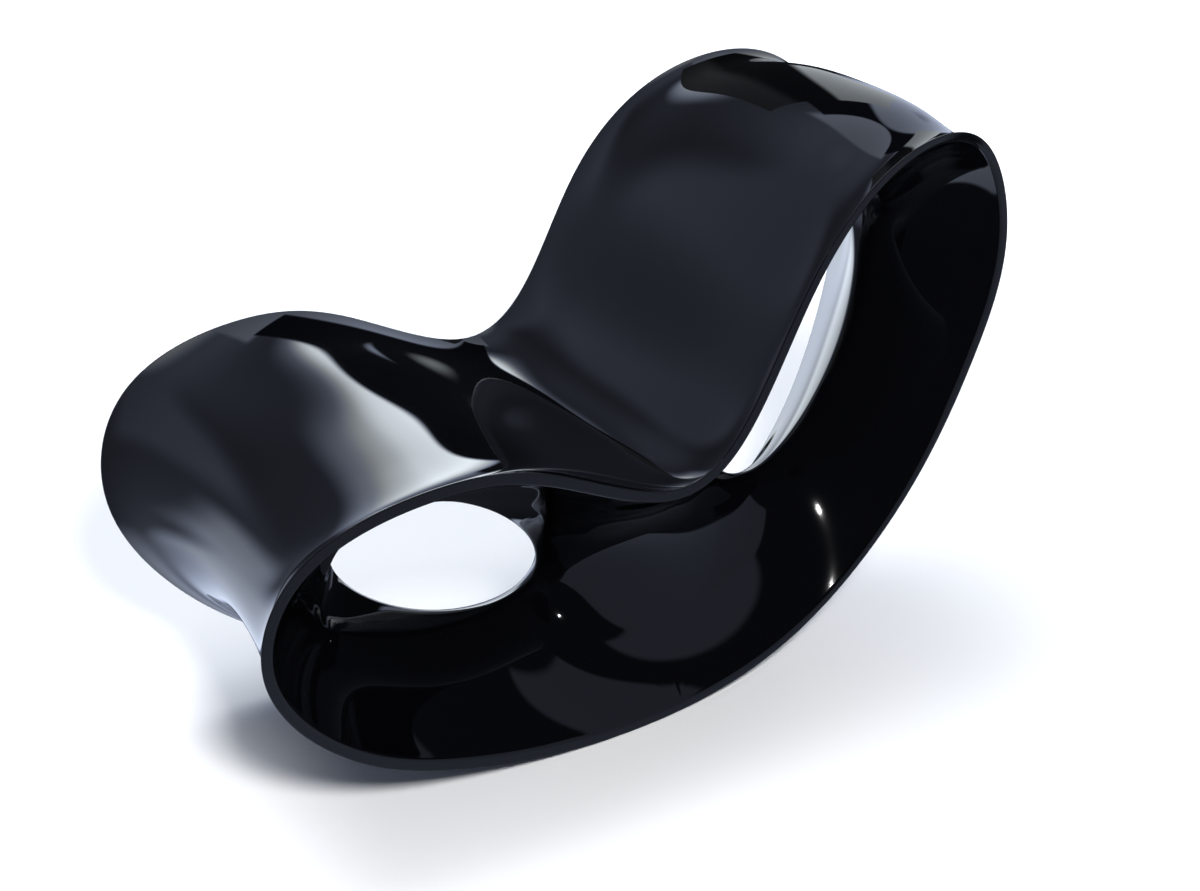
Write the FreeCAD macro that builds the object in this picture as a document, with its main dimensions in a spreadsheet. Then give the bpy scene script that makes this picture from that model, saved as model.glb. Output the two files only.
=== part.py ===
import FreeCAD, Part
import math
import os

# Moulded plastic rocking chair: one closed loop of hollow walls, resting on its own curved base.
# +X runs to the back of the chair, +Y to its right-hand side, +Z up. Millimetres.

doc = FreeCAD.newDocument("rocking_chair")
sheet = doc.addObject("Spreadsheet::Sheet", "Sizes")

SIZES = [
    ("overall_length", 1140),
    ("overall_height", 800),
    ("overall_width", 580),
    ("wall_thickness", 4),
    ("seam_gap", 0.3),
    ("rim_depth", 14),
    ("rim_rounding", 3),
    ("front_throat_along", -216),
    ("front_throat_up", 255),
    ("front_throat_long_radius", 162),
    ("front_throat_short_radius", 79),
    ("front_throat_tilt", -23),
    ("back_throat_along", 327),
    ("back_throat_up", 451),
    ("back_throat_long_radius", 212),
    ("back_throat_short_radius", 114),
    ("back_throat_tilt", 70),
    ("throat_reach", 0.25),
    ("throat_rise", 0.33),
    ("flare_reach", 0.62),
    ("flare_rise", 0.64),
    ("band_width", 14),
    ("band_thickness", 4),
    ("rib_thickness", 5),
    ("lap_length", 60),
    ("lap_thickness", 3),
    ("lap_margin", 70),
    ("vent_radius", 10),
    ("vent_offset", 60),
    ("flange_radius", 14),
    ("flange_thickness", 3),
    ("plug_recess", 0.8),
    ("crest_bow", 14),
]
for row, (name, value) in enumerate(SIZES, start=1):
    sheet.set("A%d" % row, name)
    sheet.set("B%d" % row, str(value))
    sheet.setAlias("B%d" % row, name)
doc.recompute()


def size(name):
    return float(sheet.get(name))


# Side outline, from the dip of the seat over the seat, round the nose, along the rocker, up the
# outer back, over the top and down the backrest: along, up, half the width at the rim, how far the
# skin swells in the middle, how far it flares near the rim, and how thick the lip looks.
OUTLINE = [
    (-3, 382, 276, -7, 5, 15),
    (-204, 507, 289, -13, 5, 16),
    (-345, 528, 292, -22, 4, 16),
    (-544, 481, 280, -35, 3, 16),
    (-596, 297, 249, -46, 3, 16),
    (-447, 118, 212, -39, 4, 17),
    (-279, 42, 184, -25, 5, 17),
    (-100, 1, 168, -14, 6, 16),
    (77, -4, 156, -9, 6, 13),
    (248, 31, 145, -7, 6, 11),
    (387, 130, 142, -7, 6, 11),
    (488, 269, 152, -7, 8, 11),
    (549, 428, 165, -5, 10, 12),
    (589, 596, 184, 0, 13, 13),
    (496, 808, 217, 9, 12, 12),
    (290, 785, 257, 15, 8, 12),
    (162, 656, 278, 8, 6, 13),
    (95, 491, 274, 0, 6, 15),
]
COUNT = len(OUTLINE)
STEPS = 4
STATIONS = COUNT * STEPS
NOSE = 4 * STEPS
TOP = 15 * STEPS
DIP = 0
BASE = 8 * STEPS

# v ** 4 * (1 - v * v) peaks at 4 / 27, so this makes the flare's figure its real size.
FLARE_PEAK = 27 / 4.0

WALL = size("wall_thickness")
GAP = size("seam_gap")
DEPTH = size("rim_depth")
ROUND = size("rim_rounding")
LIP_CORE = 2.4


def blend(s):
    i = int(math.floor(s))
    u = s - i
    w = ((1 - u) ** 3 / 6, (3 * u ** 3 - 6 * u * u + 4) / 6,
         (-3 * u ** 3 + 3 * u * u + 3 * u + 1) / 6, u ** 3 / 6)
    d = (-(1 - u) ** 2 / 2, (9 * u * u - 12 * u) / 6, (-9 * u * u + 6 * u + 3) / 6, u * u / 2)
    value = [0.0] * 6
    slope = [0.0, 0.0]
    for k in range(4):
        entry = OUTLINE[(i + k - 1) % COUNT]
        for c in range(6):
            value[c] += w[k] * entry[c]
        slope[0] += d[k] * entry[0]
        slope[1] += d[k] * entry[1]
    return value, slope


def swell(value, v):
    return value[3] * (1 - v * v) - value[4] * FLARE_PEAK * v ** 4 * (1 - v * v)


def raw_skin(s, v):
    value, slope = blend(s)
    run = math.hypot(slope[0], slope[1])
    nx, nz = slope[1] / run, -slope[0] / run
    g = swell(value, v)
    return value[0] + nx * g, v * value[2], value[1] + nz * g


# The outline is stretched so that the finished chair has the overall sizes in the sheet.
PROBES = 12
probe = []
for i in range(COUNT * PROBES):
    for v in (0.0, 0.25, 0.5, 0.75, 1.0):
        probe.append(raw_skin(i / float(PROBES), v))
low_x = min(p[0] for p in probe)
high_x = max(p[0] for p in probe)
low_z = min(p[2] for p in probe)
high_z = max(p[2] for p in probe)
high_y = max(p[1] for p in probe)
KX = size("overall_length") / (high_x - low_x)
KZ = size("overall_height") / (high_z - low_z)
KY = size("overall_width") / 2 / high_y
MID_X = (low_x + high_x) / 2


class Station:
    pass


def station(s):
    value, slope = blend(s)
    out = Station()
    sx, sz = slope[0] * KX, slope[1] * KZ
    run = math.hypot(sx, sz)
    out.x = (value[0] - MID_X) * KX
    out.z = (value[1] - low_z) * KZ
    out.nx = sz / run
    out.nz = -sx / run
    out.run = run
    out.half = value[2] * KY
    out.value = value
    out.lip = max(value[5], 2 * WALL + LIP_CORE)
    return out


def skin_point(st, v, inset):
    g = swell(st.value, v) - inset
    return FreeCAD.Vector(st.x + st.nx * g, v * st.half, st.z + st.nz * g)


ALL = [station(i / float(STEPS)) for i in range(STATIONS)]

# Edge of the side opening as short straight pieces, for the shape of the tunnel walls.
EDGE_SPLIT = 3
EDGE = []
for i in range(STATIONS * EDGE_SPLIT):
    st = station(i / float(EDGE_SPLIT * STEPS))
    EDGE.append((st.x - st.nx * st.lip, st.z - st.nz * st.lip, st.half))
EDGE_PIECES = []
for i in range(len(EDGE)):
    ax, az, half = EDGE[i]
    bx, bz, next_half = EDGE[(i + 1) % len(EDGE)]
    length = math.hypot(bx - ax, bz - az)
    EDGE_PIECES.append((ax, az, (bx - ax) / length, (bz - az) / length, length, half,
                        (next_half - half) / length))


class Throat:
    def __init__(self, name):
        self.x = size(name + "_throat_along") * KX
        self.z = size(name + "_throat_up") * KZ
        self.a = size(name + "_throat_long_radius")
        self.b = size(name + "_throat_short_radius")
        tilt = math.radians(size(name + "_throat_tilt"))
        self.c = math.cos(tilt)
        self.s = math.sin(tilt)

    def local(self, x, z):
        dx, dz = x - self.x, z - self.z
        return dx * self.c + dz * self.s, -dx * self.s + dz * self.c

    def distance(self, x, z):
        u, v = self.local(x, z)
        psi = math.hypot(u / self.a, v / self.b)
        return max(psi - 1, 0.0) * psi / math.hypot(u / self.a ** 2, v / self.b ** 2)

    def towards(self, x, z):
        # point of the throat on the line from its centre to (x, z)
        u, v = self.local(x, z)
        psi = math.hypot(u / self.a, v / self.b)
        return self.x + (x - self.x) / psi, self.z + (z - self.z) / psi


FRONT = Throat("front")
BACK = Throat("back")
THROAT_REACH = size("throat_reach")
THROAT_RISE = size("throat_rise")
FLARE_REACH = size("flare_reach")
FLARE_RISE = size("flare_rise")


def cubic(t, near, far):
    return 3 * t * (1 - t) ** 2 * near + 3 * t * t * (1 - t) * far + t ** 3


# How often a searched value is halved: fine, and coarser where each try is slow.
HALVINGS = 40
QUICK_HALVINGS = 16
FOOT_SEARCH = 60.0


def rise(share):
    # height share of the tunnel wall against its sideways share
    low, high = 0.0, 1.0
    for _ in range(HALVINGS):
        t = (low + high) / 2
        if cubic(t, THROAT_REACH, FLARE_REACH) < share:
            low = t
        else:
            high = t
    return cubic((low + high) / 2, THROAT_RISE, FLARE_RISE)


def edge_field(x, z):
    # smooth distance from the edge of the opening, and the half width that belongs there
    total = 0.0
    wide = 0.0
    for ax, az, dx, dz, length, half, change in EDGE_PIECES:
        s1 = (ax - x) * dx + (az - z) * dz
        s2 = s1 + length
        p2 = ((ax - x) * dz - (az - z) * dx) ** 2
        r1 = math.sqrt(s1 * s1 + p2) + 1e-9
        r2 = math.sqrt(s2 * s2 + p2) + 1e-9
        if s1 * s2 > 0:
            part = (s2 * s2 - s1 * s1) / (r1 * r2 * (s2 * r1 + s1 * r2))
        else:
            part = (s2 / r2 - s1 / r1) / max(p2, 1e-6)
        total += part
        wide += (half - change * s1) * part + change * (1 / r1 - 1 / r2)
    return math.sqrt(2 / total), wide / total


def wall_height(x, z):
    # distance of the tunnel wall from the middle plane
    hole_front = FRONT.distance(x, z)
    hole_back = BACK.distance(x, z)
    if min(hole_front, hole_back) < 1e-6:
        return GAP / 2
    rim, half = edge_field(x, z)
    hole = (hole_front ** -2 + hole_back ** -2) ** -0.5
    return GAP / 2 + (half - GAP / 2) * rise(hole / (hole + rim))


def foot_of_lip(st, depth):
    # how far the tunnel wall has moved in from the edge of the opening at a depth below the lip
    low, high = 0.0, FOOT_SEARCH
    for _ in range(QUICK_HALVINGS):
        mid = (low + high) / 2
        shift = st.lip + mid
        if wall_height(st.x - st.nx * shift, st.z - st.nz * shift) > st.half - depth:
            low = mid
        else:
            high = mid
    return (low + high) / 2


# Surfaces: a grid of points, smooth along both directions, or straight along the second one.
SWEEPS = 28


def solve_open(row):
    m = len(row) - 1
    if m == 1:
        return [row[0] * 2 - row[1], row[0], row[1], row[1] * 2 - row[0]]
    out = [v for v in row]
    for _ in range(SWEEPS):
        for i in range(1, m):
            out[i] = (row[i] * 6 - out[i - 1] - out[i + 1]) * 0.25
    return [out[0] * 2 - out[1]] + out + [out[m] * 2 - out[m - 1]]


def solve_closed(row):
    m = len(row)
    out = [v for v in row]
    for _ in range(SWEEPS):
        for i in range(m):
            out[i] = (row[i] * 6 - out[i - 1] - out[(i + 1) % m]) * 0.25
    return out


def along_u(grid, closed, first, last):
    # poles along the first direction for every column, with one spare pole at each end
    columns = []
    for k in range(len(grid[0])):
        row = [grid[i][k] for i in range(len(grid))]
        if closed:
            poles = solve_closed(row)
            count = len(poles)
            columns.append([poles[i % count] for i in range(first - 1, last + 2)])
        else:
            columns.append(solve_open(row))
    return [[columns[k][i] for k in range(len(columns))] for i in range(len(columns[0]))]


def face(grid, kind="curve", closed=False, first=0, last=None, trim=0.0):
    # kind: curve (smooth), line (two rows), arc (three rows, the middle one a corner)
    if last is None:
        last = len(grid) - 1
    poles = along_u(grid, closed, first, last)
    steps = len(poles) - 3
    u_knots = list(range(-3, steps + 4))
    if kind == "curve":
        poles = [solve_open(row) for row in poles]
        v_steps = len(poles[0]) - 3
        v_knots = list(range(-3, v_steps + 4))
        v_mults = [1] * len(v_knots)
        v_degree = 3
    else:
        v_degree = len(poles[0]) - 1
        v_steps = 1
        v_knots = [0, 1]
        v_mults = [v_degree + 1, v_degree + 1]
    surface = Part.BSplineSurface()
    surface.buildFromPolesMultsKnots(poles, [1] * len(u_knots), v_mults, u_knots, v_knots,
                                     False, False, 3, v_degree)
    surface.segment(trim, steps - trim, 0, v_steps)
    return surface


def edge_strip(a, b, side):
    # straight strip between the same side of two surfaces with the same knots
    pick = {"u0": lambda s: s.uIso(s.bounds()[0]), "u1": lambda s: s.uIso(s.bounds()[1]),
            "v0": lambda s: s.vIso(s.bounds()[2]), "v1": lambda s: s.vIso(s.bounds()[3])}[side]
    ca, cb = pick(a), pick(b)
    surface = Part.BSplineSurface()
    surface.buildFromPolesMultsKnots([[p, q] for p, q in zip(ca.getPoles(), cb.getPoles())],
                                     ca.getMultiplicities(), [2, 2], ca.getKnots(), [0, 1],
                                     False, False, ca.Degree, 1)
    return surface.toShape()


SEWING = 0.02


def solid(faces):
    shell = Part.Compound(faces)
    shell.sewShape(SEWING)
    shells = shell.Shells
    if len(shells) != 1:
        raise RuntimeError("open shell: %d shells" % len(shells))
    body = Part.Solid(shells[0])
    if body.Volume < 0:
        body.reverse()
    return body


def block(outer, inner, sides=("u0", "u1", "v0", "v1")):
    faces = [outer.toShape(), inner.toShape()]
    for side in sides:
        faces.append(edge_strip(outer, inner, side))
    return solid(faces)


made = []


def keep(name, label, shape):
    item = doc.addObject("Part::Feature", name)
    item.Shape = shape
    item.Label = label
    item.Placement = FreeCAD.Placement()
    made.append((name, item))
    return item


# Outer skins: seat and backrest in one moulding, rocker and outer back in the other.
V_STEPS = 12


def skin_grid(inset, limit):
    grid = []
    for st in ALL:
        end = 1 - limit / st.half
        row = []
        for k in range(V_STEPS + 1):
            w = -math.cos(math.pi * k / V_STEPS)
            row.append(skin_point(st, w * end, inset))
        grid.append(row)
    return grid


outer_skin = skin_grid(0.0, DEPTH + GAP)
inner_skin = skin_grid(WALL, DEPTH + GAP)


def skin_solid(first, last):
    span = (ALL[first % STATIONS].run + ALL[last % STATIONS].run) / 2 / STEPS
    trim = GAP / 2 / span
    a = face(outer_skin, closed=True, first=first, last=last, trim=trim)
    b = face(inner_skin, closed=True, first=first, last=last, trim=trim)
    return block(a, b)


seat_back = skin_solid(TOP - STATIONS, NOSE)
rocker = skin_solid(NOSE, TOP)


# Tunnel walls. Every line runs from the throat out to the foot of the lip or to the web's crest.
def foot_point(i, depth):
    st = ALL[i % STATIONS]
    shift = st.lip + foot_of_lip(st, depth)
    return st.x - st.nx * shift, st.z - st.nz * shift


def crest(share):
    a = foot_point(DIP, DEPTH + GAP)
    b = foot_point(BASE, DEPTH + GAP)
    bow = 4 * share * (1 - share) * size("crest_bow")
    return a[0] + (b[0] - a[0]) * share + bow, a[1] + (b[1] - a[1]) * share


LINES = 12
CROWDING = 1.3


def tunnel_line(throat, ox, oz):
    ix, iz = throat.towards(ox, oz)
    row = []
    for k in range(LINES + 1):
        w = (k / float(LINES)) ** CROWDING
        x = ix + (ox - ix) * w
        z = iz + (oz - iz) * w
        row.append(FreeCAD.Vector(x, -wall_height(x, z), z))
    return row


def normals(grid, throat):
    out = []
    count = len(grid)
    for i in range(count):
        row = []
        for k in range(len(grid[i])):
            a = grid[max(i - 1, 0)][k]
            b = grid[min(i + 1, count - 1)][k]
            c = grid[i][max(k - 1, 0)]
            d = grid[i][min(k + 1, len(grid[i]) - 1)]
            n = (b - a).cross(d - c)
            n.normalize()
            if k == 0:
                # the wall is cut off square at the middle plane, where it meets its twin
                level = n.x * n.x + n.z * n.z
                n = FreeCAD.Vector(n.x / level, 0, n.z / level)
            row.append(n)
        out.append(row)
    first = grid[0][0]
    outward = FreeCAD.Vector(first.x - throat.x, 0, first.z - throat.z)
    if out[0][0].dot(outward) < 0:
        out = [[n * -1 for n in row] for row in out]
    return out


def thicken(grid, n, amount):
    return [[p + q * amount for p, q in zip(a, b)] for a, b in zip(grid, n)]


CREST_STEPS = 12


def tunnel(throat, stations, crest_shares):
    # stations: rim stations in order; crest_shares: shares along the web crest, closing the loop
    rim_rows = [tunnel_line(throat, *foot_point(i, DEPTH + GAP)) for i in stations]
    pull = GAP / 2 if throat is BACK else -GAP / 2
    crest_rows = []
    for share in crest_shares:
        x, z = crest(share)
        crest_rows.append(tunnel_line(throat, x + pull, z))
    crest_rows[0] = rim_rows[-1]
    crest_rows[-1] = rim_rows[0]
    # the normals are taken round the whole loop, so that both patches agree at the corners
    loop = rim_rows + crest_rows[1:-1]
    wrapped = [loop[-1]] + loop + [loop[0]]
    n = normals(wrapped, throat)[1:-1]
    rim_n = n[:len(rim_rows)]
    crest_n = [rim_n[-1]] + n[len(rim_rows):] + [rim_n[0]]
    a = face(rim_rows)
    b = face(crest_rows)
    c = face(thicken(rim_rows, rim_n, WALL))
    d = face(thicken(crest_rows, crest_n, WALL))
    faces = [a.toShape(), b.toShape(), c.toShape(), d.toShape()]
    for side in ("v0", "v1"):
        faces.append(edge_strip(a, c, side))
        faces.append(edge_strip(b, d, side))
    return solid(faces)


shares_up = [1 - i / float(CREST_STEPS) for i in range(CREST_STEPS + 1)]
shares_down = [i / float(CREST_STEPS) for i in range(CREST_STEPS + 1)]
front_tunnel = tunnel(FRONT, range(DIP, BASE + 1), shares_up)
back_tunnel = tunnel(BACK, range(BASE, STATIONS + 1), shares_down)


# Lips: a closed ring round each side opening, rounded on both edges.
def rim_ring():
    rows = []
    for i in range(STATIONS):
        st = ALL[i]
        half, lip = st.half, st.lip

        def across(shift, depth):
            return FreeCAD.Vector(st.x - st.nx * shift, depth - half, st.z - st.nz * shift)

        back = skin_point(st, -(1 - DEPTH / half), 0.0)
        near = skin_point(st, -(1 - ROUND / half), 0.0)
        deep = across(lip + foot_of_lip(st, ROUND), ROUND)
        foot = across(lip + foot_of_lip(st, DEPTH), DEPTH)
        rows.append((back, near, across(0, 0), across(ROUND, 0), across(lip - ROUND, 0),
                     across(lip, 0), deep, foot))
    pieces = []
    for first, last in ((TOP - STATIONS, NOSE), (NOSE, TOP)):
        for kind, picks in (("line", (0, 1)), ("arc", (1, 2, 3)), ("line", (3, 4)),
                            ("arc", (4, 5, 6)), ("line", (6, 7)), ("line", (7, 0))):
            grid = [[row[p] for p in picks] for row in rows]
            pieces.append(face(grid, kind, True, first, last).toShape())
    return solid(pieces)


left_rim = rim_ring()

# Bands inside the hollow that join the two halves of each tunnel at the throat.
BAND = size("band_width") / 2
BAND_THICK = size("band_thickness")
BAND_STEPS = 32
BAND_AIM = 1.3
SEARCH_END = 0.97


def wall_out(throat, x, z, height):
    # how far out from the throat, towards (x, z), the wall reaches a height over the middle plane
    ix, iz = throat.towards(x, z)
    away = math.hypot(x - ix, z - iz)
    low, high = 0.0, SEARCH_END
    for _ in range(HALVINGS):
        mid = (low + high) / 2
        if wall_height(ix + (x - ix) * mid, iz + (z - iz) * mid) < height:
            low = mid
        else:
            high = mid
    return (low + high) / 2 * away


def slant(throat, x, z):
    # length along the line from the throat's centre for one unit square to the throat's wall
    u, v = throat.local(x, z)
    nu, nv = u / throat.a ** 2, v / throat.b ** 2
    return math.hypot(nu, nv) * math.hypot(u, v) / (nu * u + nv * v)


def behind_wall(throat, x, z, height):
    # the same for the far side of the wall, measured square to it
    out = wall_out(throat, x, z, height)
    rise_run = out / max(height, 1.0)
    return out + WALL * math.hypot(slant(throat, x, z), rise_run) + GAP


def throat_band(throat):
    # BAND_AIM times the throat is the ellipse that the band's sides point to
    rows = []
    for i in range(BAND_STEPS):
        t = 2 * math.pi * i / BAND_STEPS
        u, v = BAND_AIM * throat.a * math.cos(t), BAND_AIM * throat.b * math.sin(t)
        x = throat.x + u * throat.c - v * throat.s
        z = throat.z + u * throat.s + v * throat.c
        ix, iz = throat.towards(x, z)
        away = math.hypot(x - ix, z - iz)
        near = behind_wall(throat, x, z, BAND) / away
        deep = near + BAND_THICK * slant(throat, x, z) / away
        row = []
        for w, y in ((near, -BAND), (near, BAND), (deep, -BAND), (deep, BAND)):
            row.append(FreeCAD.Vector(ix + (x - ix) * w, y, iz + (z - iz) * w))
        rows.append(row)
    inside = [row[:2] for row in rows]
    outside = [row[2:] for row in rows]
    faces = []
    for first, last in ((0, BAND_STEPS // 2), (BAND_STEPS // 2, BAND_STEPS)):
        a = face(inside, "line", True, first, last)
        b = face(outside, "line", True, first, last)
        faces += [a.toShape(), b.toShape(), edge_strip(a, b, "v0"), edge_strip(a, b, "v1")]
    return solid(faces)


front_band = throat_band(FRONT)
back_band = throat_band(BACK)


# Lap strips behind the two joints of the skins.
LAP_ROWS = 5
LAP_COLUMNS = 9


def shares(count):
    return [k / (count - 1.0) for k in range(count)]


def lap_strip(index):
    joint = index / float(STEPS)
    length = size("lap_length") / station(joint).run
    grids = []
    for inset in (WALL + GAP, WALL + GAP + size("lap_thickness")):
        rows = []
        for along in shares(LAP_ROWS):
            st = station(joint + (along - 0.5) * length)
            end = 1 - size("lap_margin") / st.half
            rows.append([skin_point(st, end * (2 * k - 1), inset) for k in shares(LAP_COLUMNS)])
        grids.append(rows)
    return block(face(grids[0]), face(grids[1]))


# Ribs across the hollow, between the skin and the throat band.
RIB_REACH = 0.62
RIB_POINTS = 11


def rib(place, throat):
    # place: where along the outline, counted in its rows
    grids = []
    for side in (-0.5, 0.5):
        st = station(place + side * size("rib_thickness") / station(place).run)
        ex = st.x - st.nx * st.lip
        ez = st.z - st.nz * st.lip
        ix, iz = throat.towards(ex, ez)
        away = math.hypot(ex - ix, ez - iz)
        band = BAND_THICK * slant(throat, ex, ez) + GAP
        top = []
        foot = []
        for k in shares(RIB_POINTS):
            y = st.half * RIB_REACH * (2 * k - 1)
            top.append(skin_point(st, y / st.half, WALL + GAP))
            w = (behind_wall(throat, ex, ez, max(abs(y), BAND)) + band) / away
            foot.append(FreeCAD.Vector(ix + (ex - ix) * w, y, iz + (ez - iz) * w))
        grids.append((top, foot))
    (top0, foot0), (top1, foot1) = grids
    a = face([top0, top1])
    b = face([foot0, foot1])
    return block(a, b)


keep("seat_back_shell", "Seat and backrest skin", seat_back)
rocker_item = doc.addObject("Part::Feature", "rocker_blank")
rocker_item.Shape = rocker
rocker_item.Placement = FreeCAD.Placement()
keep("left_rim", "Left lip", left_rim)
keep("front_tunnel_left", "Front tunnel wall, left half", front_tunnel)
keep("back_tunnel_left", "Back tunnel wall, left half", back_tunnel)
keep("front_throat_band", "Front throat band", front_band)
keep("back_throat_band", "Back throat band", back_band)
keep("front_lap_strip", "Lap strip at the nose", lap_strip(NOSE))
keep("top_lap_strip", "Lap strip at the top", lap_strip(TOP))
RIBS = [
    ("seat_rib_front", "Seat rib, front", 2.5, FRONT),
    ("seat_rib_rear", "Seat rib, rear", 1.25, FRONT),
    ("back_rib_lower", "Backrest rib, lower", 16.75, BACK),
    ("back_rib_upper", "Backrest rib, upper", 15.75, BACK),
    ("rocker_rib_front", "Rocker rib, front", 6.0, FRONT),
    ("rocker_rib_rear", "Rocker rib, rear", 10.0, BACK),
    ("outer_back_rib_lower", "Outer back rib, lower", 11.5, BACK),
    ("outer_back_rib_upper", "Outer back rib, upper", 13.25, BACK),
]
for name, label, place, throat in RIBS:
    keep(name, label, rib(place, throat))

# Right-hand twins, mirrored in the middle plane.
twins = {}
for name, item in made:
    twins[name] = item
for source, name, label in (
        ("left_rim", "right_rim", "Right lip"),
        ("front_tunnel_left", "front_tunnel_right", "Front tunnel wall, right half"),
        ("back_tunnel_left", "back_tunnel_right", "Back tunnel wall, right half")):
    item = doc.addObject("Part::Mirroring", name)
    item.Source = twins[source]
    item.Normal = FreeCAD.Vector(0, 1, 0)
    item.Base = FreeCAD.Vector(0, 0, 0)
    item.Label = label
    made.append((name, item))

# Vent holes and their plugs, under the rocker in front of the floor line.
VENT_PLACE = 6.6
vent_st = station(VENT_PLACE)
axis = FreeCAD.Vector(-vent_st.nx, 0, -vent_st.nz)
turn = FreeCAD.Rotation(FreeCAD.Vector(0, 0, 1), axis)
RECESS = size("plug_recess")
holes = []
for name, label, sign in (("vent_plug_left", "Vent plug, left", -1),
                          ("vent_plug_right", "Vent plug, right", 1)):
    y = sign * size("vent_offset")
    at = skin_point(vent_st, y / vent_st.half, 0.0)
    hole = doc.addObject("Part::Cylinder", name + "_hole")
    hole.setExpression("Radius", "Sizes.vent_radius")
    hole.setExpression("Height", "Sizes.wall_thickness * 6")
    hole.Placement = FreeCAD.Placement(at - axis * (WALL * 3), turn)
    holes.append(hole)
    pin = doc.addObject("Part::Cylinder", name + "_pin")
    pin.setExpression("Radius", "Sizes.vent_radius - Sizes.seam_gap")
    pin.setExpression("Height", "Sizes.wall_thickness + Sizes.flange_thickness")
    pin.Placement = FreeCAD.Placement(at + axis * RECESS, turn)
    flange = doc.addObject("Part::Cylinder", name + "_flange")
    flange.setExpression("Radius", "Sizes.flange_radius")
    flange.setExpression("Height", "Sizes.flange_thickness")
    flange.Placement = FreeCAD.Placement(at + axis * (WALL + RECESS), turn)
    plug = doc.addObject("Part::MultiFuse", name)
    plug.Shapes = [pin, flange]
    plug.Label = label
    made.append((name, plug))

both = doc.addObject("Part::MultiFuse", "vent_holes")
both.Shapes = holes
shell = doc.addObject("Part::Cut", "rocker_shell")
shell.Base = rocker_item
shell.Tool = both
shell.Label = "Rocker and outer back skin"
made.append(("rocker_shell", shell))

doc.recompute()
for name, item in made:
    if "Invalid" in item.State or "Error" in item.State:
        raise RuntimeError(name + " did not recompute")
    if item.Shape.isNull() or not item.Shape.isValid():
        raise RuntimeError(name + " has no valid shape")
    if len(item.Shape.Solids) != 1:
        raise RuntimeError("%s has %d solids" % (name, len(item.Shape.Solids)))

os.makedirs("parts", exist_ok=True)
for name, item in made:
    item.Shape.exportStep("parts/" + name + ".step")
    box = item.Shape.BoundBox
    print(name, round(item.Shape.Volume / 1000), "cm3", [round(v, 1) for v in (
        box.XMin, box.XMax, box.YMin, box.YMax, box.ZMin, box.ZMax)])
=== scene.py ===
import math

import bpy
import numpy as np
from mathutils import Matrix, Vector


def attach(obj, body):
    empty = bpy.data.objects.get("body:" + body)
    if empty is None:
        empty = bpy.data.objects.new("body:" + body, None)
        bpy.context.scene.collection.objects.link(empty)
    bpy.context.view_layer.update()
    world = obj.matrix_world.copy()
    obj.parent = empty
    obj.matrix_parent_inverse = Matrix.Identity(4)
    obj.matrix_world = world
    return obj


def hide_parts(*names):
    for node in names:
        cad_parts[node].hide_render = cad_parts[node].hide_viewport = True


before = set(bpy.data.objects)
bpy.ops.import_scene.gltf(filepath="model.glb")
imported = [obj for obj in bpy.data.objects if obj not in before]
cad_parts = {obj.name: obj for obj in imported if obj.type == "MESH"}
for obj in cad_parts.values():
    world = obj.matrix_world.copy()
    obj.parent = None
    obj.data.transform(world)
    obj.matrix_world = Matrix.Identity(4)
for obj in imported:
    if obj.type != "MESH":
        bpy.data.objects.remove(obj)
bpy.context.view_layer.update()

# Moulded plastic rocking chair: +X to its back, +Y to its right, +Z up, in metres.
OVERALL_LENGTH = 1.140
OVERALL_HEIGHT = 0.800
OVERALL_WIDTH = 0.580
LIP_ROUNDING = 0.003
LIP_LEAST = 0.0104
CREST_BOW = 0.014

# Side outline, from the dip of the seat over the seat, round the nose, along the rocker, up the
# outer back, over the top and down the backrest, in millimetres: along, up, half the width at the
# lip, how far the skin swells in the middle, how far it flares near the lip, width of the lip.
OUTLINE = np.array([
    (-3, 382, 276, -7, 5, 15),
    (-204, 507, 289, -13, 5, 16),
    (-345, 528, 292, -22, 4, 16),
    (-544, 481, 280, -35, 3, 16),
    (-596, 297, 249, -46, 3, 16),
    (-447, 118, 212, -39, 4, 17),
    (-279, 42, 184, -25, 5, 17),
    (-100, 1, 168, -14, 6, 16),
    (77, -4, 156, -9, 6, 13),
    (248, 31, 145, -7, 6, 11),
    (387, 130, 142, -7, 6, 11),
    (488, 269, 152, -7, 8, 11),
    (549, 428, 165, -5, 10, 12),
    (589, 596, 184, 0, 13, 13),
    (496, 808, 217, 9, 12, 12),
    (290, 785, 257, 15, 8, 12),
    (162, 656, 278, 8, 6, 13),
    (95, 491, 274, 0, 6, 15),
]) / 1000.0
COUNT = len(OUTLINE)

# Places on the outline, counted in its rows: where the web meets the seat and the rocker, and
# where the two outer skins meet at the nose and at the top.
DIP = 0.0
BASE = 8.0
NOSE = 4.0
TOP = 15.0

# Throats of the two tunnels: along, up, long radius, short radius, tilt of the long radius.
FRONT_THROAT = (-0.216, 0.255, 0.162, 0.079, -23.0)
BACK_THROAT = (0.327, 0.451, 0.212, 0.114, 70.0)
THROAT_ROUNDING = 0.002

# The tunnel wall between throat and lip is a cubic: sideways and height shares of its two handles.
THROAT_REACH, THROAT_RISE = 0.25, 0.33
FLARE_REACH, FLARE_RISE = 0.62, 0.64

# Fineness of the meshes and of the searches
FINE = 4
SPAN_STEPS = 12 * FINE
ACROSS_STEPS = 24 * FINE
WALL_STEPS = 18 * FINE
WEB_STEPS = 22 * FINE
LIP_STEPS = 7
WALL_CROWDING = 2.2
SIZE_STEPS = 12
EDGE_STEPS = 30
TURN_STEPS = 20001
FOOT_REACH = 0.06
FOOT_STEPS = 22
PROBE = 1e-4
TINY = 1e-12


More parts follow.
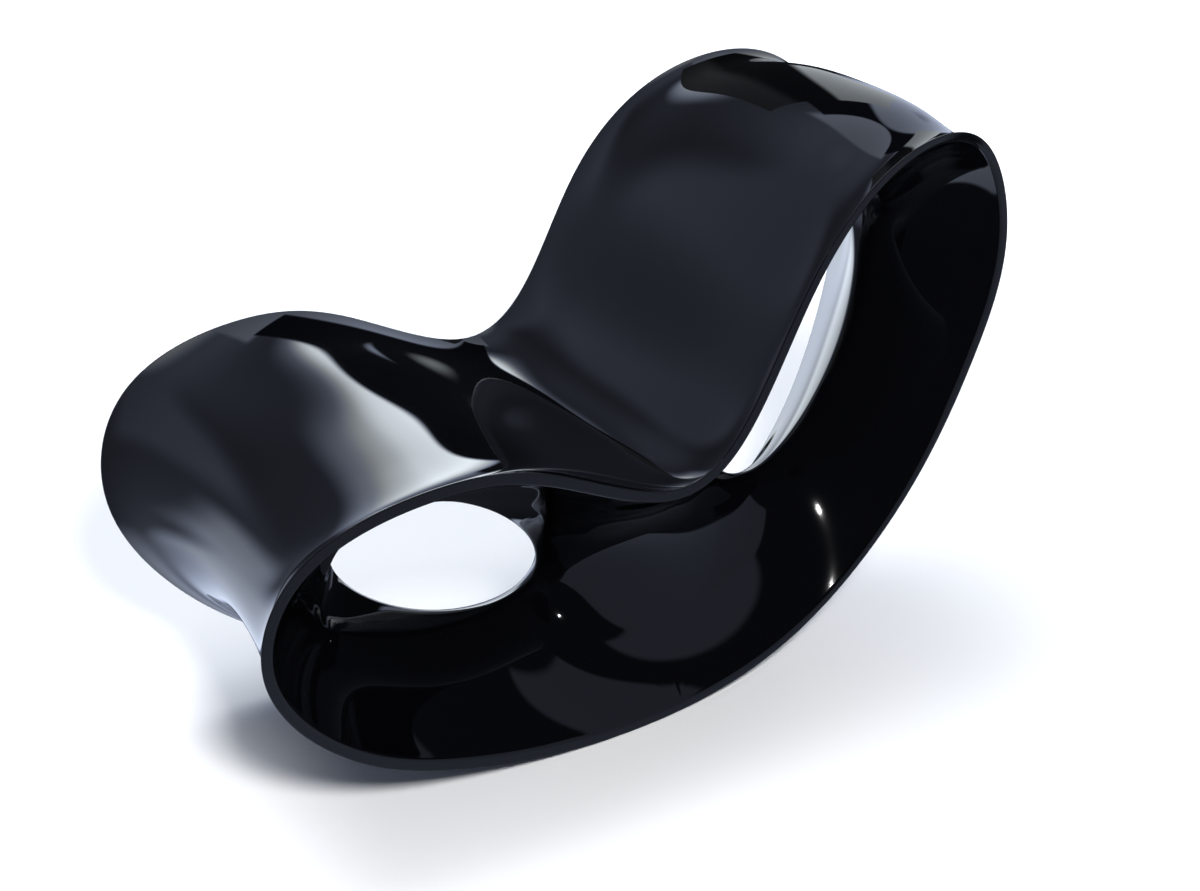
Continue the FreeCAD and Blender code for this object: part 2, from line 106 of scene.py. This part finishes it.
def blend(s):
    """Outline values and their slope along the side at places s, a smooth closed curve."""
    s = np.asarray(s, float)
    i = np.floor(s).astype(int)
    u = s - i
    w = ((1 - u) ** 3 / 6, (3 * u ** 3 - 6 * u * u + 4) / 6,
         (-3 * u ** 3 + 3 * u * u + 3 * u + 1) / 6, u ** 3 / 6)
    d = (-(1 - u) ** 2 / 2, (9 * u * u - 12 * u) / 6, (-9 * u * u + 6 * u + 3) / 6, u * u / 2)
    value = sum(w[k][..., None] * OUTLINE[(i + k - 1) % COUNT] for k in range(4))
    slope = sum(d[k][..., None] * OUTLINE[(i + k - 1) % COUNT] for k in range(4))
    return value, slope


def swell(value, v):
    """How far the skin stands out at a share v of the half width."""
    return value[..., 3] * (1 - v * v) - value[..., 4] * 6.75 * v ** 4 * (1 - v * v)


def fit_to_size():
    """Factors and offsets that give the chair its overall sizes."""
    s, v = np.meshgrid(np.arange(COUNT * SIZE_STEPS) / SIZE_STEPS, np.linspace(0, 1, 5),
                       indexing="ij")
    value, slope = blend(s)
    run = np.hypot(slope[..., 0], slope[..., 1])
    g = swell(value, v)
    x = value[..., 0] + slope[..., 1] / run * g
    z = value[..., 1] - slope[..., 0] / run * g
    y = v * value[..., 2]
    return (OVERALL_LENGTH / np.ptp(x), OVERALL_HEIGHT / np.ptp(z), OVERALL_WIDTH / 2 / y.max(),
            (x.min() + x.max()) / 2, z.min())


KX, KZ, KY, MID_X, LOW_Z = fit_to_size()


class Rim:
    """The lip's line and directions at places s of the outline."""

    def __init__(self, s):
        value, slope = blend(s)
        sx, sz = slope[..., 0] * KX, slope[..., 1] * KZ
        run = np.hypot(sx, sz)
        self.value = value
        self.x = (value[..., 0] - MID_X) * KX
        self.z = (value[..., 1] - LOW_Z) * KZ
        self.nx = sz / run
        self.nz = -sx / run
        self.half = value[..., 2] * KY
        self.lip = np.maximum(value[..., 5], LIP_LEAST)

    def out(self, shift, y):
        """Points moved outwards from the lip's line, at a place y across the chair."""
        return np.stack([self.x + self.nx * shift, y, self.z + self.nz * shift], -1)


def skin(s, v):
    """Points of the outer skin at places s and shares v of the half width."""
    rim = Rim(s)
    return rim.out(swell(rim.value, v), v * rim.half)


# Edge of the side opening as short straight pieces, for the shape of the tunnel walls.
edge_rim = Rim(np.arange(COUNT * EDGE_STEPS) / EDGE_STEPS)
EDGE = np.stack([edge_rim.x - edge_rim.nx * edge_rim.lip,
                 edge_rim.z - edge_rim.nz * edge_rim.lip, edge_rim.half], -1)
EDGE_NEXT = np.roll(EDGE, -1, 0)


def edge_field(x, z):
    """Smooth distance from the edge of the opening, and the half width that belongs there."""
    total = np.zeros_like(x)
    wide = np.zeros_like(x)
    for a, b in zip(EDGE, EDGE_NEXT):
        dx, dz = b[0] - a[0], b[1] - a[1]
        length = math.hypot(dx, dz)
        dx, dz = dx / length, dz / length
        s1 = (a[0] - x) * dx + (a[1] - z) * dz
        s2 = s1 + length
        p2 = ((a[0] - x) * dz - (a[1] - z) * dx) ** 2
        r1 = np.sqrt(s1 * s1 + p2) + TINY
        r2 = np.sqrt(s2 * s2 + p2) + TINY
        same = s1 * s2 > 0
        direct = (s2 / r2 - s1 / r1) / np.maximum(p2, TINY)
        under = r1 * r2 * (s2 * r1 + s1 * r2)
        steady = (s2 * s2 - s1 * s1) / np.where(same, under, 1.0)
        part = np.where(same, steady, direct)
        k = (b[2] - a[2]) / length
        total += part
        wide += (a[2] - k * s1) * part + k * (1 / r1 - 1 / r2)
    return np.sqrt(2 / total), wide / total


class Throat:
    """The narrowest opening of a tunnel, an ellipse in the middle plane."""

    def __init__(self, along, up, long_radius, short_radius, tilt):
        self.x, self.z = along * KX, up * KZ
        self.a, self.b = long_radius, short_radius
        self.c, self.s = math.cos(math.radians(tilt)), math.sin(math.radians(tilt))

    def local(self, x, z):
        dx, dz = x - self.x, z - self.z
        return dx * self.c + dz * self.s, -dx * self.s + dz * self.c

    def distance(self, x, z):
        """Distance from the throat's wall, 0 inside the throat."""
        u, v = self.local(x, z)
        psi = np.hypot(u / self.a, v / self.b)
        return np.maximum(psi - 1, 0) * psi / np.hypot(u / self.a ** 2, v / self.b ** 2)

    def towards(self, x, z):
        """The point of the throat's wall on the line to its centre."""
        u, v = self.local(x, z)
        psi = np.hypot(u / self.a, v / self.b)
        return self.x + (x - self.x) / psi, self.z + (z - self.z) / psi

    def inward(self, x, z):
        """Direction from the throat's wall into the open tunnel."""
        u, v = self.local(x, z)
        nu, nv = u / self.a ** 2, v / self.b ** 2
        n = np.hypot(nu, nv)
        nu, nv = nu / n, nv / n
        return -(nu * self.c - nv * self.s), -(nu * self.s + nv * self.c)


FRONT = Throat(*FRONT_THROAT)
BACK = Throat(*BACK_THROAT)


def cubic(t, near, far):
    return 3 * t * (1 - t) ** 2 * near + 3 * t * t * (1 - t) * far + t ** 3


TURN = np.linspace(0, 1, TURN_STEPS)
TURN_SHARE = cubic(TURN, THROAT_REACH, FLARE_REACH)


def rise(share):
    """Height share of the tunnel wall against its sideways share."""
    t = np.interp(share, TURN_SHARE, TURN)
    return cubic(t, THROAT_RISE, FLARE_RISE)


def wall_height(x, z):
    """Distance of the tunnel wall from the middle plane."""
    rim, half = edge_field(x, z)
    d1 = np.maximum(FRONT.distance(x, z), 1e-9)
    d2 = np.maximum(BACK.distance(x, z), 1e-9)
    hole = (d1 ** -2 + d2 ** -2) ** -0.5
    hole = np.sqrt(hole * hole + 2 * THROAT_ROUNDING * hole)
    return half * rise(hole / (hole + rim))


def foot_of_lip(rim, depth):
    """How far the tunnel wall has moved in from the edge of the opening at a depth below the lip."""
    low = np.zeros_like(rim.half)
    high = np.full_like(rim.half, FOOT_REACH)
    for _ in range(FOOT_STEPS):
        mid = (low + high) / 2
        shift = -(rim.lip + mid)
        above = wall_height(rim.x + rim.nx * shift, rim.z + rim.nz * shift) > rim.half - depth
        low = np.where(above, mid, low)
        high = np.where(above, high, mid)
    return (low + high) / 2


def unit(v):
    return v / np.maximum(np.linalg.norm(v, axis=-1, keepdims=True), TINY)


def grid_normals(p, closed, guide):
    """Normals of a grid of points, turned to the side of guide."""
    if closed:
        du = np.roll(p, -1, 0) - np.roll(p, 1, 0)
    else:
        du = np.gradient(p, axis=0)
    dv = np.gradient(p, axis=1)
    n = unit(np.cross(du, dv))
    return np.where((n * guide).sum(-1, keepdims=True) < 0, -n, n)


def grid_faces(rows, columns, closed):
    """Four-sided faces between the points of a grid."""
    index = np.arange(rows * columns).reshape(rows, columns)
    nxt = np.roll(index, -1, 0) if closed else index[1:]
    cur = index if closed else index[:-1]
    return np.stack([cur[:, :-1], nxt[:, :-1], nxt[:, 1:], cur[:, 1:]], -1).reshape(-1, 4)


def add_mesh(name, patches, material, nodes):
    """One smooth mesh from patches of (points, normals, faces) that replaces CAD nodes."""
    points, normals, faces, count = [], [], [], 0
    for p, n, f in patches:
        points.append(p.reshape(-1, 3))
        normals.append(n.reshape(-1, 3))
        q = f + count
        a = p.reshape(-1, 3)[f]
        facing = np.cross(a[:, 2] - a[:, 0], a[:, 3] - a[:, 1])
        wrong = (facing * n.reshape(-1, 3)[f].sum(1)).sum(1) < 0
        q[wrong] = q[wrong][:, ::-1]
        faces.append(q)
        count += len(p.reshape(-1, 3))
    points = np.concatenate(points)
    normals = np.concatenate(normals)
    faces = np.concatenate(faces)
    mesh = bpy.data.meshes.new(name)
    mesh.from_pydata(points.tolist(), [], faces.tolist())
    mesh.polygons.foreach_set("use_smooth", np.ones(len(mesh.polygons), bool))
    mesh.normals_split_custom_set_from_vertices(normals.tolist())
    mesh.materials.append(material)
    obj = bpy.data.objects.new(name, mesh)
    bpy.context.scene.collection.objects.link(obj)
    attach(obj, "root")
    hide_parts(*nodes)


def mirrored(patch):
    """The same patch on the other side of the middle plane."""
    p, n, f = patch
    turn = np.array([1.0, -1.0, 1.0])
    return p * turn, n * turn, f


def skin_patch(first, last):
    """Outer skin from one place of the outline to another, without its rounded edges."""
    s = np.linspace(first, last, int((last - first) * SPAN_STEPS) + 1)
    rim = Rim(s)
    end = (1 - LIP_ROUNDING / rim.half)[:, None]
    w = -np.cos(np.linspace(0, math.pi, ACROSS_STEPS + 1))[None]
    v = w * end
    grid = np.broadcast_to(s[:, None], v.shape)
    p = skin(grid, v)
    du = skin(grid + PROBE, v) - skin(grid - PROBE, v)
    dv = skin(grid, v + PROBE) - skin(grid, v - PROBE)
    n = unit(np.cross(du, dv))
    guide = Rim(grid).out(1.0, np.zeros_like(v)) - Rim(grid).out(0.0, np.zeros_like(v))
    n = np.where((n * guide).sum(-1, keepdims=True) < 0, -n, n)
    return p, n, grid_faces(*p.shape[:2], False)


def lip_patches():
    """Left lip: its rounded outer edge, its flat land and its rounded inner edge."""
    side_steps = COUNT * SPAN_STEPS
    s = np.arange(side_steps) / side_steps * COUNT
    rim = Rim(s)
    down = np.zeros((len(s), 3))
    down[:, 1] = -1.0
    outward = rim.out(1.0, 0 * rim.half) - rim.out(0.0, 0 * rim.half)
    start = skin(s, -(1 - LIP_ROUNDING / rim.half))
    corner = rim.out(0.0, -rim.half)
    land = rim.out(-LIP_ROUNDING, -rim.half)
    inner = rim.out(-(rim.lip - LIP_ROUNDING), -rim.half)
    hollow = rim.out(-rim.lip, -rim.half)
    shift = foot_of_lip(rim, LIP_ROUNDING)
    foot = rim.out(-(rim.lip + shift), -(rim.half - LIP_ROUNDING))
    t = np.linspace(0, 1, LIP_STEPS)[None, :, None]

    def arc(a, b, c):
        a, b, c = a[:, None], b[:, None], c[:, None]
        return a * (1 - t) ** 2 + 2 * b * t * (1 - t) + c * t * t

    patches = []
    for p, guide in ((arc(start, corner, land), outward + down),
                     (land[:, None] * (1 - t) + inner[:, None] * t, down),
                     (arc(inner, hollow, foot), down - outward)):
        n = grid_normals(p, True, guide[:, None])
        patches.append((p, n, grid_faces(*p.shape[:2], True)))
    return patches


def crest(share):
    """Line down the middle of the web, from the dip of the seat to the rocker."""
    a = Rim(np.array([DIP]))
    b = Rim(np.array([BASE]))
    fa = a.out(-(a.lip + foot_of_lip(a, LIP_ROUNDING)), -a.half)[0]
    fb = b.out(-(b.lip + foot_of_lip(b, LIP_ROUNDING)), -b.half)[0]
    bow = 4 * share * (1 - share) * CREST_BOW
    return fa[0] + (fb[0] - fa[0]) * share + bow, fa[2] + (fb[2] - fa[2]) * share


def tunnel_patch(throat, first, last, backwards):
    """Left half of a tunnel wall, from the throat to the lip and to the middle of the web."""
    rim = Rim(np.linspace(first, last, int((last - first) * SPAN_STEPS) + 1))
    foot = rim.out(-(rim.lip + foot_of_lip(rim, LIP_ROUNDING)), -rim.half)
    share = np.linspace(0, 1, WEB_STEPS + 1)[1:-1]
    if backwards:
        share = share[::-1]
    cx, cz = crest(share)
    ox = np.concatenate([foot[:, 0], cx])
    oz = np.concatenate([foot[:, 2], cz])
    ix, iz = throat.towards(ox, oz)
    w = (np.linspace(0, 1, WALL_STEPS + 1) ** WALL_CROWDING)[None]
    x = ix[:, None] + (ox - ix)[:, None] * w
    z = iz[:, None] + (oz - iz)[:, None] * w
    y = -wall_height(x.ravel(), z.ravel()).reshape(x.shape)
    y[:, 0] = 0.0
    p = np.stack([x, y, z], -1)
    guide = np.array([0.0, -1.0, 0.0])
    n = grid_normals(p, True, guide)
    nx, nz = throat.inward(x[:, 0], z[:, 0])
    n[:, 0] = np.stack([nx, 0 * nx, nz], -1)
    return p, n, grid_faces(*p.shape[:2], True)


def gloss_black():
    """Piano-black lacquer with a faint unevenness of tint and polish."""
    mat = bpy.data.materials.new("black_gloss")
    mat.use_nodes = True
    tree = mat.node_tree
    shader = tree.nodes["Principled BSDF"]
    place = tree.nodes.new("ShaderNodeTexCoord")
    fine = tree.nodes.new("ShaderNodeTexNoise")
    fine.inputs["Scale"].default_value = 9.0
    fine.inputs["Detail"].default_value = 3.0
    tint = tree.nodes.new("ShaderNodeValToRGB")
    tint.color_ramp.elements[0].color = (0.0006, 0.0006, 0.0009, 1)
    tint.color_ramp.elements[1].color = (0.0012, 0.0012, 0.0017, 1)
    rough = tree.nodes.new("ShaderNodeMapRange")
    rough.inputs["To Min"].default_value = 0.020
    rough.inputs["To Max"].default_value = 0.035
    link = tree.links.new
    link(place.outputs["Object"], fine.inputs["Vector"])
    link(fine.outputs["Fac"], tint.inputs["Fac"])
    link(fine.outputs["Fac"], rough.inputs["Value"])
    link(tint.outputs["Color"], shader.inputs["Base Color"])
    link(rough.outputs["Result"], shader.inputs["Roughness"])
    shader.inputs["IOR"].default_value = 1.5
    return mat


gloss = gloss_black()

seat = skin_patch(TOP - COUNT, NOSE)
rocker = skin_patch(NOSE, TOP)
lips = lip_patches()
front_wall = tunnel_patch(FRONT, DIP, BASE, True)
back_wall = tunnel_patch(BACK, BASE, float(COUNT), False)

add_mesh("Seat_and_backrest", [seat], gloss, ["seat_back_shell"])
add_mesh("Rocker_and_outer_back", [rocker], gloss, ["rocker_shell"])
add_mesh("Left_lip", lips, gloss, ["left_rim"])
add_mesh("Right_lip", [mirrored(p) for p in lips], gloss, ["right_rim"])
add_mesh("Front_tunnel_left_half", [front_wall], gloss, ["front_tunnel_left"])
add_mesh("Front_tunnel_right_half", [mirrored(front_wall)], gloss, ["front_tunnel_right"])
add_mesh("Back_tunnel_left_half", [back_wall], gloss, ["back_tunnel_left"])
add_mesh("Back_tunnel_right_half", [mirrored(back_wall)], gloss, ["back_tunnel_right"])

# Camera at the photograph's view
CAMERA_PLACE = (-1.3527, -2.2536, 1.6331)
CAMERA_TURN = math.radians(31.6665)
CAMERA_TILT = math.radians(25.8484)
CAMERA_LENS = 65.561
CAMERA_SENSOR = 36.0
CAMERA_REACH = 60.0


def add_camera():
    a, e = CAMERA_TURN, CAMERA_TILT
    right = Vector((math.cos(a), -math.sin(a), 0))
    up = Vector((math.sin(a) * math.sin(e), math.cos(a) * math.sin(e), math.cos(e)))
    ahead = Vector((math.sin(a) * math.cos(e), math.cos(a) * math.cos(e), -math.sin(e)))
    data = bpy.data.cameras.new("Camera")
    data.lens = CAMERA_LENS
    data.sensor_width = CAMERA_SENSOR
    data.clip_end = CAMERA_REACH
    camera = bpy.data.objects.new("Camera", data)
    camera.matrix_world = Matrix((
        (right.x, up.x, -ahead.x, CAMERA_PLACE[0]), (right.y, up.y, -ahead.y, CAMERA_PLACE[1]),
        (right.z, up.z, -ahead.z, CAMERA_PLACE[2]), (0, 0, 0, 1)))
    bpy.context.scene.collection.objects.link(camera)
    bpy.context.scene.camera = camera


# The pale floor glows more the farther it is from the chair, so that it fades into white.
FLOOR_REACH = 30.0
GLOW_FROM = 0.9
GLOW_FULL = 2.6
GLOW_MOST = 0.7


def add_floor():
    mesh = bpy.data.meshes.new("Floor")
    r = FLOOR_REACH
    mesh.from_pydata([(-r, -r, 0), (r, -r, 0), (r, r, 0), (-r, r, 0)], [], [(0, 1, 2, 3)])
    mat = bpy.data.materials.new("studio_floor")
    mat.use_nodes = True
    tree = mat.node_tree
    shader = tree.nodes["Principled BSDF"]
    noise = tree.nodes.new("ShaderNodeTexNoise")
    noise.inputs["Scale"].default_value = 0.6
    tint = tree.nodes.new("ShaderNodeValToRGB")
    tint.color_ramp.elements[0].color = (0.90, 0.90, 0.905, 1)
    tint.color_ramp.elements[1].color = (0.93, 0.93, 0.935, 1)
    place = tree.nodes.new("ShaderNodeTexCoord")
    tree.links.new(place.outputs["Object"], noise.inputs["Vector"])
    tree.links.new(noise.outputs["Fac"], tint.inputs["Fac"])
    tree.links.new(tint.outputs["Color"], shader.inputs["Base Color"])
    away = tree.nodes.new("ShaderNodeVectorMath")
    away.operation = "LENGTH"
    glow = tree.nodes.new("ShaderNodeMapRange")
    glow.interpolation_type = "SMOOTHSTEP"
    glow.inputs["From Min"].default_value = GLOW_FROM
    glow.inputs["From Max"].default_value = GLOW_FULL
    glow.inputs["To Max"].default_value = GLOW_MOST
    tree.links.new(place.outputs["Object"], away.inputs[0])
    tree.links.new(away.outputs["Value"], glow.inputs["Value"])
    tree.links.new(glow.outputs["Result"], shader.inputs["Emission Strength"])
    shader.inputs["Emission Color"].default_value = (1, 1, 1, 1)
    shader.inputs["Roughness"].default_value = 0.9
    shader.inputs["Specular IOR Level"].default_value = 0.0
    mesh.materials.append(mat)
    obj = bpy.data.objects.new("Floor", mesh)
    bpy.context.scene.collection.objects.link(obj)
    obj.visible_glossy = False


def add_light(name, place, target, size, power):
    data = bpy.data.lights.new(name, "AREA")
    data.shape = "RECTANGLE"
    data.size, data.size_y = size
    data.energy = power
    light = bpy.data.objects.new(name, data)
    light.location = place
    light.rotation_mode = "QUATERNION"
    light.rotation_quaternion = (Vector(target) - Vector(place)).to_track_quat("-Z", "Y")
    bpy.context.scene.collection.objects.link(light)
    return light


# What the gloss reflects: soft panels and dark flags round the chair. Each row covers the rows
# before it: first and last turn, first and last height, width of the soft edge, lean of both
# sides for each degree of height, brightness. Turns are degrees, on the far side (BEHIND) towards
# the chair's back and on the near side (BEFORE) towards its nose. Heights are degrees over the
# horizon.
BEHIND = [
    (-120, 120, -100, 100, 1, 0.0, 0.21),
    (-120, 120, 44, 100, 18, 0.0, 0.46),
    (-66, -24, 12, 62, 16, 0.0, 0.44),
    (-22, 26, 6, 36, 14, 0.0, 0.13),
    (-34, -15, -24, -1, 13, 0.0, 1.15),
    (-24, 20, -38, -16, 13, 0.0, 1.15),
    (-120, 120, -100, -46, 14, 0.0, 0.95),
    (-120, 120, 62, 100, 16, 0.0, 2.20),
    (8, 40, 3, 30, 10, 0.0, 1.20),
    (15, 40, 6, 27, 7, 0.0, 3.00),
    (20, 40, 9, 25, 6, 0.0, 4.60),
    (18, 90, 41, 64, 3, 0.0, 1.00),
    (35.6, 60, -24, 42, 1.0, -0.33, 0.010),
    (28, 60, -24, 3, 2, 0.0, 0.010),
    (41, 70, -12, 60, 2, 0.0, 0.90),
    (50, 90, -34, 14, 3, 0.0, 0.010),
    (16, 90, -70, -26, 4, 0.0, 0.015),
]
BEFORE = [
    (-120, 120, -100, 100, 1, 0.0, 0.03),
    (-66, 62, -100, 4, 3, 0.0, 0.33),
    (-48, -8, 0, 20, 4, 0.0, 0.33),
    (-66, -32, 0, 46, 2.5, 0.0, 0.30),
]

# A dark flag near the chair's top and a glow behind its back opening, each on an upright plane
# across the chair. The rows are the same, in metres along and up.
FLAG_PLANE = 0.75
FLAG_LOW, FLAG_HIGH = (0.42, 0.80), (1.30, 1.40)
FLAG = [
    (-9, 9, -9, 9, 1, 0.0, 0.01),
    (-9, 0.62, -9, 9, 0.10, 0.0, 0.08),
    (0.90, 9, -9, 9, 0.05, 0.0, 0.90),
]
GLOW_PLANE = 1.05
GLOW_LOW, GLOW_HIGH = (0.0, -0.3), (1.1, 0.5)
GLOW = [
    (-9, 9, -9, 9, 1, 0.0, 0.0),
    (0.20, 0.95, -0.20, 0.32, 0.06, 0.0, 0.80),
    (0.10, 0.62, 0.10, 0.36, 0.12, 0.0, 2.4),
]

# Tints of dim and of bright panels, and the brightness at which one passes into the other
DIM_TINT = (0.80, 0.92, 1.24)
BRIGHT_TINT = (0.92, 1.00, 1.07)
DIM_LEVEL, BRIGHT_LEVEL = 0.5, 2.0
SEAM = 0.01


class Nodes:
    """Short names for the few kinds of node that the panels are built from."""

    def __init__(self, tree):
        self.tree = tree

    def math(self, operation, *values):
        node = self.tree.nodes.new("ShaderNodeMath")
        node.operation = operation
        for socket, value in zip(node.inputs, values):
            if isinstance(value, (int, float)):
                socket.default_value = value
            else:
                self.tree.links.new(value, socket)
        return node.outputs[0]

    def step(self, value, low, high):
        """0 under low, 1 over high, smooth between."""
        node = self.tree.nodes.new("ShaderNodeMapRange")
        node.interpolation_type = "SMOOTHSTEP"
        node.inputs["From Min"].default_value = low
        node.inputs["From Max"].default_value = high
        self.tree.links.new(value, node.inputs["Value"])
        return node.outputs["Result"]

    def window(self, turn, height, row):
        """1 inside a row's bounds, 0 outside."""
        turn_from, turn_to, height_from, height_to, soft, lean, _ = row
        turn = self.math("SUBTRACT", turn, self.math("MULTIPLY", height, lean))
        h = soft / 2
        parts = [self.step(turn, turn_from - h, turn_from + h),
                 self.math("SUBTRACT", 1, self.step(turn, turn_to - h, turn_to + h)),
                 self.step(height, height_from - h, height_from + h),
                 self.math("SUBTRACT", 1, self.step(height, height_to - h, height_to + h))]
        product = parts[0]
        for part in parts[1:]:
            product = self.math("MULTIPLY", product, part)
        return product

    def mix(self, factor, a, b):
        difference = self.math("SUBTRACT", b, a)
        return self.math("MULTIPLY_ADD", factor, difference, a)

    def layers(self, turn, height, rows):
        """Brightness of a table's rows, the last one on top."""
        level = rows[0][-1]
        for row in rows[1:]:
            level = self.mix(self.window(turn, height, row), level, row[-1])
        return level


def studio_world():
    """The gloss and the other surfaces see the panels, and the camera sees plain white."""
    world = bpy.data.worlds.new("Studio")
    bpy.context.scene.world = world
    world.use_nodes = True
    tree = world.node_tree
    kit = Nodes(tree)
    place = tree.nodes.new("ShaderNodeTexCoord")
    split = tree.nodes.new("ShaderNodeSeparateXYZ")
    tree.links.new(place.outputs["Generated"], split.inputs["Vector"])
    x, y, z = (split.outputs[name] for name in ("X", "Y", "Z"))
    degrees = 180 / math.pi
    height = kit.math("MULTIPLY", kit.math("ARCSINE", z), degrees)
    behind = kit.math("MULTIPLY", kit.math("ARCTAN2", x, y), degrees)
    minus_x = kit.math("MULTIPLY", x, -1)
    minus_y = kit.math("MULTIPLY", y, -1)
    before = kit.math("MULTIPLY", kit.math("ARCTAN2", minus_x, minus_y), degrees)
    far = kit.layers(behind, height, BEHIND)
    near = kit.layers(before, height, BEFORE)
    level = kit.mix(kit.step(y, -SEAM, SEAM), near, far)
    tint = tree.nodes.new("ShaderNodeMix")
    tint.data_type = "RGBA"
    tint.inputs["A"].default_value = (*DIM_TINT, 1)
    tint.inputs["B"].default_value = (*BRIGHT_TINT, 1)
    tree.links.new(kit.step(level, DIM_LEVEL, BRIGHT_LEVEL), tint.inputs["Factor"])
    panels = tree.nodes["Background"]
    tree.links.new(tint.outputs["Result"], panels.inputs["Color"])
    tree.links.new(level, panels.inputs["Strength"])
    plain = tree.nodes.new("ShaderNodeBackground")
    plain.inputs["Color"].default_value = (1, 1, 1, 1)
    seen = tree.nodes.new("ShaderNodeLightPath")
    choice = tree.nodes.new("ShaderNodeMixShader")
    tree.links.new(seen.outputs["Is Camera Ray"], choice.inputs["Fac"])
    tree.links.new(panels.outputs["Background"], choice.inputs[1])
    tree.links.new(plain.outputs["Background"], choice.inputs[2])
    tree.links.new(choice.outputs["Shader"], tree.nodes["World Output"].inputs["Surface"])


def panel(name, plane, low, high, rows, covers):
    """An upright panel that only the gloss sees. Unless it covers, it adds to what lies behind."""
    mesh = bpy.data.meshes.new(name)
    mesh.from_pydata([(low[0], plane, low[1]), (high[0], plane, low[1]),
                      (high[0], plane, high[1]), (low[0], plane, high[1])], [], [(0, 1, 2, 3)])
    mat = bpy.data.materials.new(name)
    mat.use_nodes = True
    tree = mat.node_tree
    tree.nodes.remove(tree.nodes["Principled BSDF"])
    kit = Nodes(tree)
    place = tree.nodes.new("ShaderNodeTexCoord")
    split = tree.nodes.new("ShaderNodeSeparateXYZ")
    tree.links.new(place.outputs["Object"], split.inputs["Vector"])
    glow = tree.nodes.new("ShaderNodeEmission")
    glow.inputs["Color"].default_value = (*BRIGHT_TINT, 1)
    tree.links.new(kit.layers(split.outputs["X"], split.outputs["Z"], rows),
                   glow.inputs["Strength"])
    surface = glow
    if not covers:
        clear = tree.nodes.new("ShaderNodeBsdfTransparent")
        surface = tree.nodes.new("ShaderNodeAddShader")
        tree.links.new(glow.outputs[0], surface.inputs[0])
        tree.links.new(clear.outputs[0], surface.inputs[1])
    tree.links.new(surface.outputs[0], tree.nodes["Material Output"].inputs["Surface"])
    mesh.materials.append(mat)
    obj = bpy.data.objects.new(name, mesh)
    bpy.context.scene.collection.objects.link(obj)
    obj.visible_camera = False
    obj.visible_diffuse = False
    obj.visible_shadow = False


add_camera()
add_floor()
studio_world()
panel("Top_flag", FLAG_PLANE, FLAG_LOW, FLAG_HIGH, FLAG, True)
panel("Back_glow", GLOW_PLANE, GLOW_LOW, GLOW_HIGH, GLOW, False)

# Place, target, size and watts of each light. The spark is the key's small bright heart.
KEY_PLACE = (-1.05, -2.95, 2.75)
KEY_TARGET = (0, 0, 0.2)
key = add_light("Key", KEY_PLACE, KEY_TARGET, (0.55, 0.55), 165)
key.visible_glossy = False
spark = add_light("Spark", KEY_PLACE, KEY_TARGET, (0.10, 0.10), 200)
spark.visible_diffuse = False
ceiling = add_light("Ceiling", (-0.5, 0.6, 3.4), (0, 0, 0), (2.6, 2.2), 76)
ceiling.visible_glossy = False
bpy.context.scene.view_settings.view_transform = "Standard"
